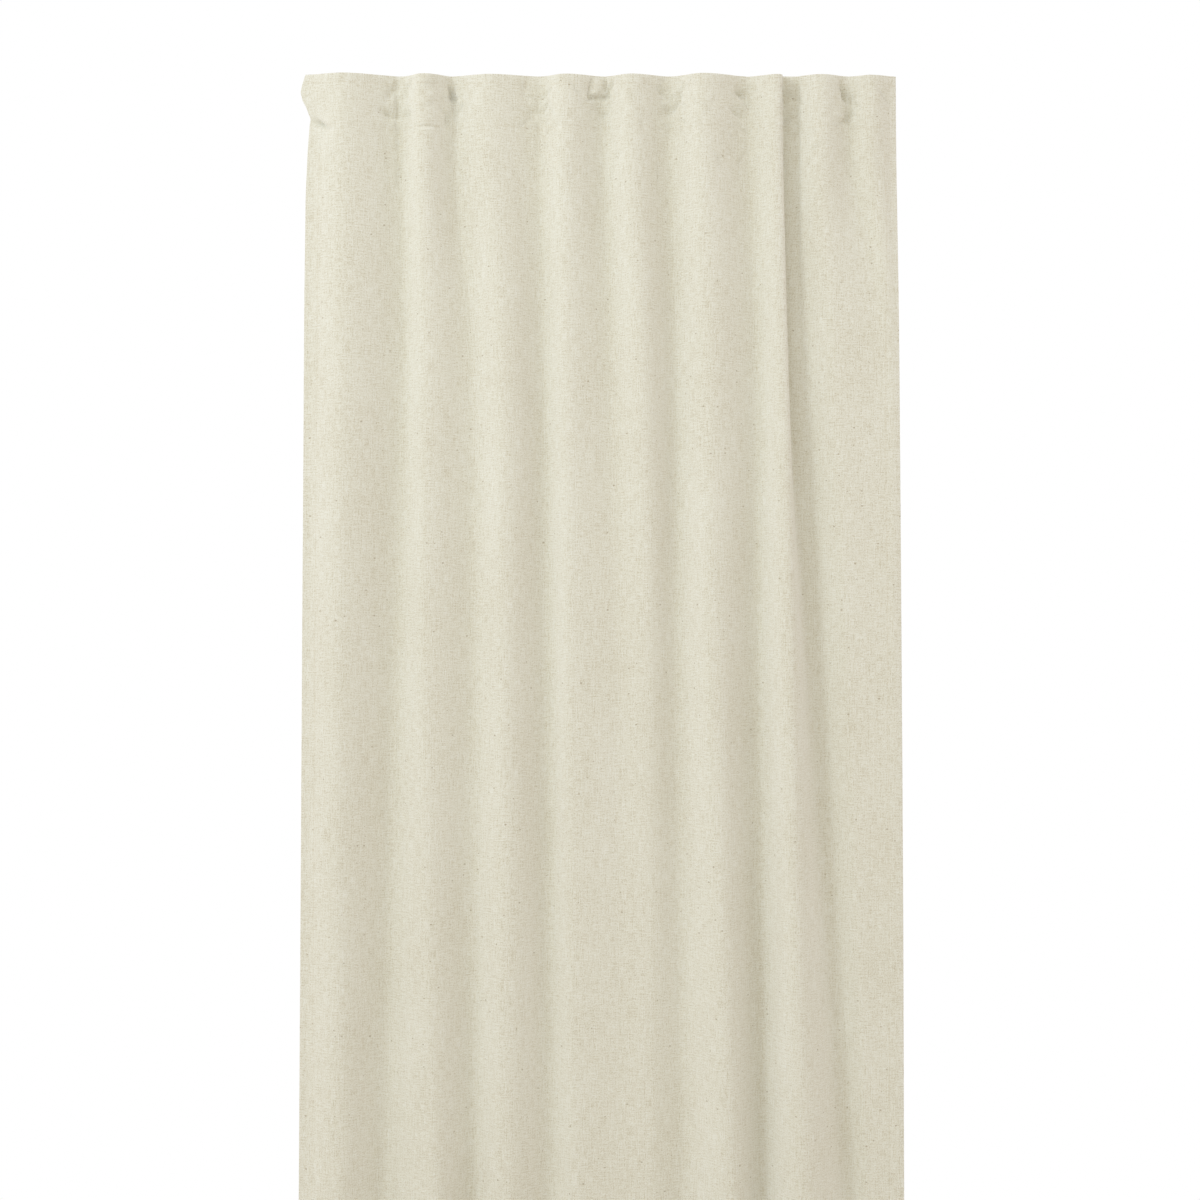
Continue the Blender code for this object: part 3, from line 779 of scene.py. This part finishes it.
stitch = {
    "pitch": 0.0036,
    "share": 0.78,              # of the pitch that a stitch lies on the cloth for
    "radius": 0.00022,
    "lift": 0.00030,
    "sink": 0.0001,             # how deep its ends go into the cloth
    "start": 0.003,             # from the edge of the cloth
    "taper": 0.25,              # radians cut off each end of the sine that thins its ends
}


def threadTubes(name, s, d, back, radius, material):
    # Tubes along rows of points in the cloth's own terms: round each point a ring of six, across the
    # path and behind the cloth; s, d and back are arrays of tubes by points
    ds, dd = np.gradient(s, axis=1), np.gradient(d, axis=1)
    size = np.hypot(ds, dd) + 1e-9
    ring = np.linspace(0, 2 * np.pi, 6, endpoint=False)
    taper = np.sin(np.linspace(stitch["taper"], np.pi - stitch["taper"], s.shape[1])) ** 0.5
    r = radius * taper[None, :, None]
    sRing = s[..., None] - (dd / size)[..., None] * r * np.cos(ring)
    dRing = d[..., None] + (ds / size)[..., None] * r * np.cos(ring)
    bRing = back[..., None] + r * np.sin(ring)
    points = clothPoint(sRing, dRing, bRing).reshape(-1, 3)
    index = np.arange(sRing.size).reshape(sRing.shape)
    turned = np.concatenate([index, index[..., :1]], axis=2)
    a, b, c, e = turned[:, :-1, :-1], turned[:, 1:, :-1], turned[:, 1:, 1:], turned[:, :-1, 1:]
    sides = np.stack([a, b, c, e], axis=-1).reshape(-1, 4)
    first, last = index[:, 0], index[:, -1]
    caps = [first[:, [0, 1, 2, 3]], first[:, [0, 3, 4, 5]], last[:, [3, 2, 1, 0]], last[:, [5, 4, 3, 0]]]
    quads = np.concatenate([sides, *caps])
    flat = np.stack([sRing, dRing], axis=-1).reshape(-1, 2)
    return quadMesh(name, points, quads, flat, material)


def stitchRow(name, start, end, backFace):
    # Stitches in a row on the room side and again on the back: each is a short arc of thread that
    # comes up out of the cloth and goes down again
    start, end = np.array(start), np.array(end)
    long = np.hypot(*(end - start))
    count = int(long / stitch["pitch"])
    along = (end - start) / long
    centre = (np.arange(count) + 0.5) * long / count
    t = np.linspace(-0.5, 0.5, 5)
    place = centre[:, None] + t * stitch["pitch"] * stitch["share"]
    arc = stitch["lift"] * (1 - (2 * t) ** 2) - stitch["sink"]
    front = -cloth["thickness"] / 2 - arc
    rear = backFace + arc
    s = np.concatenate([start[0] + place * along[0]] * 2)
    d = np.concatenate([start[1] + place * along[1]] * 2)
    back = np.concatenate([np.tile(front, (count, 1)), np.tile(rear, (count, 1))])
    return threadTubes(name, s, d, back, stitch["radius"], thread)


tapeBack = tapeAt + tape["thickness"]
hemBack = facingAt + hem["thickness"]
hemTop = length - hem["bottom"]
first, last = stitch["start"], width - stitch["start"]
left, right = seams["side"], width - seams["side"]
upperStitch = stitchRow("headingStitchUpper", (first, seams["upper"]), (last, seams["upper"]), tapeBack)
lowerStitch = stitchRow("headingStitchLower", (first, seams["lower"]), (last, seams["lower"]), tapeBack)
bottomStitch = stitchRow("bottomHemStitch", (first, seams["bottom"]), (last, seams["bottom"]), hemBack)
leftStitch = stitchRow("leftHemStitch", (left, heading), (left, hemTop), hemBack)
rightStitch = stitchRow("rightHemStitch", (right, heading), (right, hemTop), hemBack)
print("stitch rows made")


strap = {
    "width": 0.020,
    "thickness": 0.0009,
    "halfHeight": 0.019,
    "end": 0.010,               # length of strap sewn down above and below the bow
    "endGap": 0.0012,
    "endRows": 6,
    "reach": 0.0273,
    "roundness": 0.8,           # below 1, the bow is fuller than a sine
    "bowRows": 29,
    "flatHalf": 0.008,
    "flatColumns": 7,
    "free": 3,                  # how soon the bow leaves the folds of the tape
}
tackThread = {"points": 36, "half": 0.007, "swing": 0.0009, "lift": 0.0001, "radius": 0.00024}
tabAt = tapeBack + gap
bartackAt = tabAt + strap["thickness"] + gap


def backLoop(number, along):
    # A strap seen from the side: flat against the tape at both ends, and between them a bow whose
    # height is a cosine and whose reach is a sine of the way round it
    turn = np.linspace(0, np.pi, strap["bowRows"])
    half, none = strap["halfHeight"], np.zeros(strap["endRows"])
    sewnFrom, sewnTo = half + strap["end"], half + strap["endGap"]
    path = np.concatenate([
        np.stack([np.linspace(sewnFrom, sewnTo, strap["endRows"]), none]),
        np.stack([half * np.cos(turn), strap["reach"] * np.sin(turn) ** strap["roundness"]]),
        np.stack([-np.linspace(sewnTo, sewnFrom, strap["endRows"]), none]),
    ], axis=1)
    height, reach = path
    step = np.gradient(path, axis=1)
    step = step / np.hypot(*step)
    edge = np.radians([20, 45, 70, 90])
    across = strap["thickness"] / 2 * (1 - np.cos(edge)) - strap["width"] / 2
    flatPart = np.linspace(-strap["flatHalf"], strap["flatHalf"], strap["flatColumns"])
    across = np.concatenate([across, flatPart, -across[::-1]])
    swell = np.concatenate([np.sin(edge), np.ones(len(flatPart)), np.sin(edge)[::-1]])
    swell = swell * strap["thickness"] / 2
    free = np.clip(reach / strap["reach"] * strap["free"], 0, 1)[:, None, None]
    depth = (top - height)[:, None]
    follows = clothPoint((along + across)[None, :], depth, tabAt + strap["thickness"] / 2)
    lowest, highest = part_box(f"back_tab_{number}")
    centre = np.array([(lowest[0] + highest[0]) / 2, lowest[1] + strap["thickness"] / 2])
    flat = np.empty_like(follows)
    flat[..., 0] = centre[0] + across
    flat[..., 1] = follows[:, [len(across) // 2], 1]
    flat[..., 2] = height[:, None]
    middle = follows + (flat - follows) * free
    middle[..., 1] += reach[:, None]
    normal = np.stack([np.zeros_like(height), -step[0], step[1]], axis=-1)[:, None, :]
    near = middle - normal * swell[None, :, None]
    far = middle + normal * swell[None, :, None]
    run = np.cumsum(np.hypot(*np.diff(path, axis=1, prepend=path[:, :1])))
    return closedShell(f"backLoop{number}", near, far, flatMap(across, run), webbing)


def bartack(name, along, depth):
    # A dense zigzag of thread across the strap
    count = tackThread["points"]
    s = along + np.linspace(-tackThread["half"], tackThread["half"], count)
    d = depth + tackThread["swing"] * np.where(np.arange(count) % 2, 1, -1)
    fine = np.linspace(0, count - 1, 3 * count - 2)
    s, d = np.interp(fine, np.arange(count), s), np.interp(fine, np.arange(count), d)
    back = np.full_like(s, bartackAt + tackThread["lift"])
    return threadTubes(name, s[None], d[None], back[None], tackThread["radius"], thread)


for number, along in enumerate(loops["places"], start=1):
    body = "panel" if number == 1 else f"loop_{number}"
    made = backLoop(number, along)
    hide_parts(f"back_tab_{number}")
    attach(made, body)
    for place, side in (("upper", -1), ("lower", 1)):
        depth = top + side * (strap["halfHeight"] + strap["end"] / 2)
        tack = bartack(f"bartack{number}{place.capitalize()}", along, depth)
        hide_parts(f"bartack_{number}_{place}")
        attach(tack, body)
print("loops and bartacks made")


label = {
    "width": 0.030,
    "height": 0.045,
    "at": 0.003,                # from the left edge of the cloth
    "aboveHem": 0.060,
    "thickness": 0.0005,
    "lift": 0.0015,
    "columns": 13,
    "rows": 19,
}


def careLabel():
    # A ribbon sewn down at its upper end, whose free end lifts away with the square of the distance
    s = np.linspace(label["at"], label["at"] + label["width"], label["columns"])
    foot = hemTop - label["aboveHem"]
    d = np.linspace(foot - label["height"], foot, label["rows"])
    lift = label["lift"] * ((d - d[0]) / label["height"]) ** 2
    near = hemBack + 3 * gap + lift[:, None]
    return closedShell("careLabel", clothPoint(s[None, :], d[:, None], near),
                       clothPoint(s[None, :], d[:, None], near + label["thickness"]), flatMap(s, d), satin)


labelPiece = careLabel()

clothPieces = {
    "panel_cloth": (panelPiece, "cloth"),
    "heading_facing": (facing, "cloth"),
    "heading_tape": (tapePiece, "tape"),
    "left_side_hem": (leftHem, "cloth"),
    "right_side_hem": (rightHem, "cloth"),
    "bottom_hem": (bottomHem, "cloth"),
    "heading_stitch_upper": (upperStitch, "thread"),
    "heading_stitch_lower": (lowerStitch, "thread"),
    "bottom_hem_stitch": (bottomStitch, "thread"),
    "left_hem_stitch": (leftStitch, "thread"),
    "right_hem_stitch": (rightStitch, "thread"),
    "care_label": (labelPiece, "label"),
}
# Each made piece takes the place of its CAD part and goes with the panel, the first loop's body
for node, (piece, slot) in clothPieces.items():
    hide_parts(node)
    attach(piece, "panel")
    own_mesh(piece)


studio = {
    "cameraX": -0.0026,
    "cameraY": -4.4,
    "cameraZ": -0.853,
    "lens": 75.6,
    "sensor": 36,
    "floorGap": 0.017,
    "floorRadius": 1.70,
    "floorSteps": 49,
    "floorColour": "#F4F3F0",
    "floorRoughness": 0.7,
    "ambient": 0.83,
    "keyPower": 47,
    "keyPlace": (-3.2, -3.5, 1.4),
    "keyAim": (0, 0, -0.6),
    "keyColour": (0.88, 1.0, 1.10),
    "ambientColour": (1.033, 0.976, 0.930),
    "keySize": 1.3,
    "highPlace": (-0.6, -2.5, 0.6),
    "highAim": (0, 0, -0.2),
    "highSize": 1.6,
    "highPower": 11,
}


def floorDisc():
    # A round pale floor: a square grid u, v pressed into a disc, x = u root(1 - v v / 2), y likewise
    steps = np.linspace(-1, 1, studio["floorSteps"])
    v, u = np.meshgrid(steps, steps, indexing="ij")
    z = np.full(u.shape, cadBox[0][2] - studio["floorGap"])
    x, y = u * np.sqrt(1 - v * v / 2), v * np.sqrt(1 - u * u / 2)
    points = np.stack([x * studio["floorRadius"], y * studio["floorRadius"], z], axis=-1)
    index = np.arange(u.size).reshape(u.shape)
    # Painted board, matt and nearly white, so that only the soft shadow shows
    made, _, shader = newFinish("paintedFloor", studio["floorRoughness"], 0.0)
    shader.inputs["Base Color"].default_value = linear(studio["floorColour"])
    flat = points[..., :2].reshape(-1, 2)
    return quadMesh("studioFloor", points.reshape(-1, 3), gridQuads(index), flat, made)


floorDisc()
scene = bpy.context.scene
scene.view_settings.view_transform = "Standard"
world = bpy.data.worlds.new("paleStudio")
scene.world = world
world.use_nodes = True
sky = world.node_tree
background = sky.nodes["Background"]
background.inputs["Color"].default_value = (*studio["ambientColour"], 1.0)
background.inputs["Strength"].default_value = studio["ambient"]
seen = addNode(sky, "ShaderNodeBackground", {"Color": (1.0, 1.0, 1.0, 1.0), "Strength": 1.0})
ray = addNode(sky, "ShaderNodeLightPath")
both = addNode(sky, "ShaderNodeMixShader", {}, {0: ray.outputs["Is Camera Ray"], 1: background.outputs[0],
                                                2: seen.outputs[0]})
sky.links.new(both.outputs[0], sky.nodes["World Output"].inputs["Surface"])


def areaLight(name, place, target, size, power):
    # A square soft light at a place, turned to face the target
    lamp = bpy.data.lights.new(name, "AREA")
    lamp.shape = "SQUARE"
    lamp.size = size
    lamp.energy = power
    lamp.color = studio["keyColour"]
    obj = bpy.data.objects.new(name, lamp)
    bpy.context.collection.objects.link(obj)
    obj.location = place
    aim = np.array(target) - np.array(place)
    flatRun = np.hypot(aim[0], aim[1])
    obj.rotation_euler = (np.pi / 2 + np.arctan2(aim[2], flatRun), 0, np.arctan2(-aim[0], aim[1]))
    return obj


areaLight("keyLight", studio["keyPlace"], studio["keyAim"], studio["keySize"], studio["keyPower"])
areaLight("highLight", studio["highPlace"], studio["highAim"], studio["highSize"], studio["highPower"])

camera = bpy.data.cameras.new("camera")
camera.lens = studio["lens"]
camera.sensor_width = studio["sensor"]
cameraObject = bpy.data.objects.new("camera", camera)
bpy.context.collection.objects.link(cameraObject)
cameraObject.location = (studio["cameraX"], studio["cameraY"], studio["cameraZ"])
cameraObject.rotation_euler = (np.pi / 2, 0, 0)
scene.camera = cameraObject
print("studio made")
